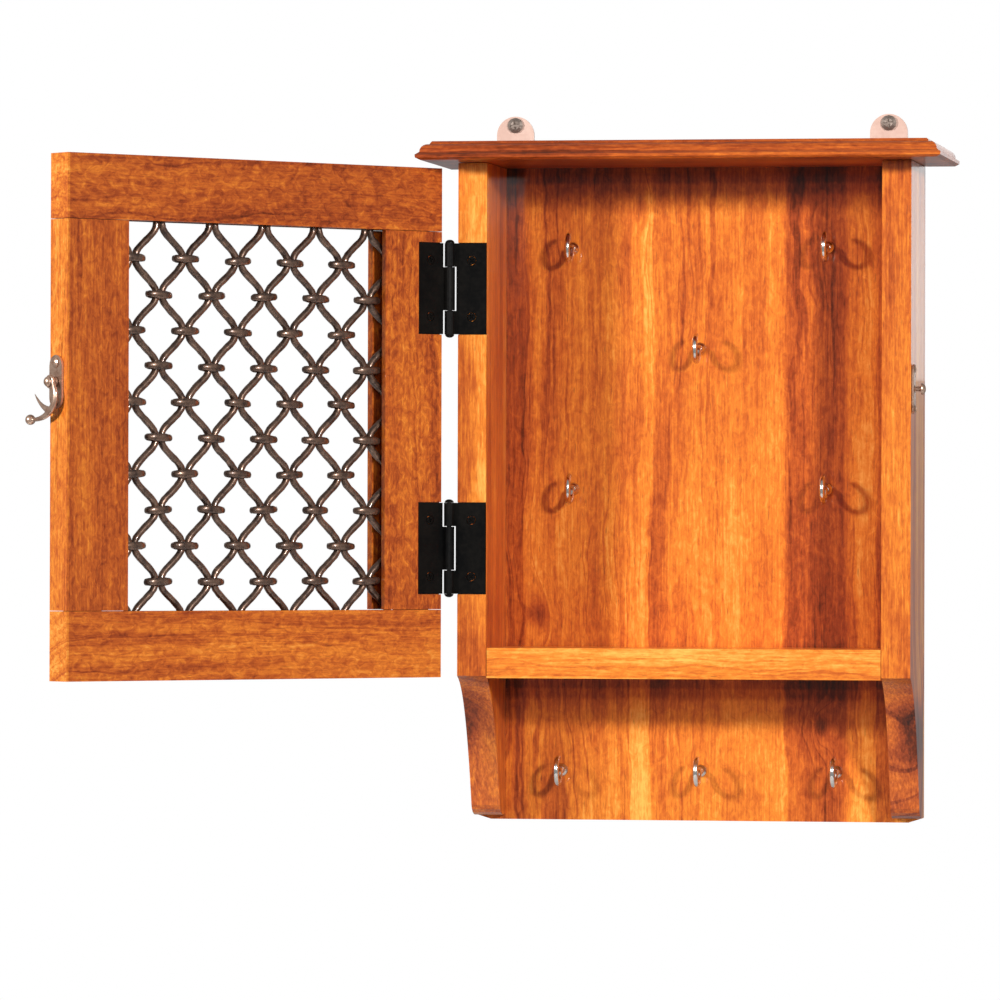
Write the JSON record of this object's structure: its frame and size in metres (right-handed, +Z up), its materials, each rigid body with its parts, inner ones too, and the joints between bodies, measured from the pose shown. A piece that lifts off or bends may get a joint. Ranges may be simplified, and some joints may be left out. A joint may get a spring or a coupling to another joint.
{
  "type": "key cabinet",
  "caption": "Wall-hung hardwood key cabinet with a moulded top, plated cup hooks inside and below, and a hinged door that frames an iron lattice and shuts with a swan hook",
  "frame": {"origin": "centre of the back panel's rear face, on the wall plane, midway between the side boards", "axes": "+X to the right seen from the front, +Y into the wall, +Z up; the door stands open on its left-hand hinges"},
  "size_m": [0.4716, 0.2611, 0.3923],
  "materials": {
    "wood": "gloss varnish",
    "wood_dark": "gloss varnish",
    "iron": "browned and waxed",
    "black_steel": "black lacquer",
    "antique": "antique plated",
    "nickel": "bright nickel plate",
    "tab": "satin"
  },
  "bodies": {
    "cabinet": {"top_board": "wood_dark", "side_left": "wood", "side_right": "wood", "back_panel": "wood_dark", "bottom_shelf": "wood", "hinge_upper_case_leaf": "black_steel", "hinge_upper_pin": "black_steel", "hinge_upper_case_screw_top": "black_steel", "hinge_upper_case_screw_bottom": "black_steel", "hinge_lower_case_leaf": "black_steel", "hinge_lower_pin": "black_steel", "hinge_lower_case_screw_top": "black_steel", "hinge_lower_case_screw_bottom": "black_steel", "catch_plate": "antique", "catch_peg": "antique", "catch_screw_top": "antique", "catch_screw_bottom": "antique", "cup_hook_upper_left": "nickel", "cup_hook_upper_right": "nickel", "cup_hook_centre": "nickel", "cup_hook_lower_left": "nickel", "cup_hook_lower_right": "nickel", "cup_hook_bottom_left": "nickel", "cup_hook_bottom_centre": "nickel", "cup_hook_bottom_right": "nickel", "hanging_tab_left": "tab", "hanging_tab_right": "tab", "wall_screw_left": "nickel", "wall_screw_right": "nickel"},
    "door": {"door_rail_top": "wood", "door_rail_bottom": "wood", "door_stile_hinge": "wood", "door_stile_latch": "wood", "lattice_wire_01": "iron", "lattice_wire_02": "iron", "lattice_wire_03": "iron", "lattice_wire_04": "iron", "lattice_wire_05": "iron", "lattice_wire_06": "iron", "lattice_wire_07": "iron", "lattice_wire_08": "iron", "lattice_wire_09": "iron", "lattice_wire_10": "iron", "lattice_wire_11": "iron", "hinge_upper_door_leaf": "black_steel", "hinge_upper_door_screw_top": "black_steel", "hinge_upper_door_screw_bottom": "black_steel", "hinge_lower_door_leaf": "black_steel", "hinge_lower_door_screw_top": "black_steel", "hinge_lower_door_screw_bottom": "black_steel", "latch_plate": "antique", "latch_pivot": "antique", "latch_screw_top": "antique", "latch_screw_bottom": "antique"},
    "latch": {"latch_hook": "antique"}
  },
  "joints": [
    {"name": "door_hinge", "type": "hinge", "parent": "cabinet", "child": "door", "pos_m": [-0.1294, -0.0734, 0], "axis": [0, 0, 1], "range_deg": [-47.5, 132.5]},
    {"name": "latch_swing", "type": "hinge", "parent": "door", "child": "latch", "pos_m": [-0.30792, -0.25283, 0.0575], "axis": [0.6756, 0.7373, 0], "range_deg": [-30, 233.5]}
  ]
}
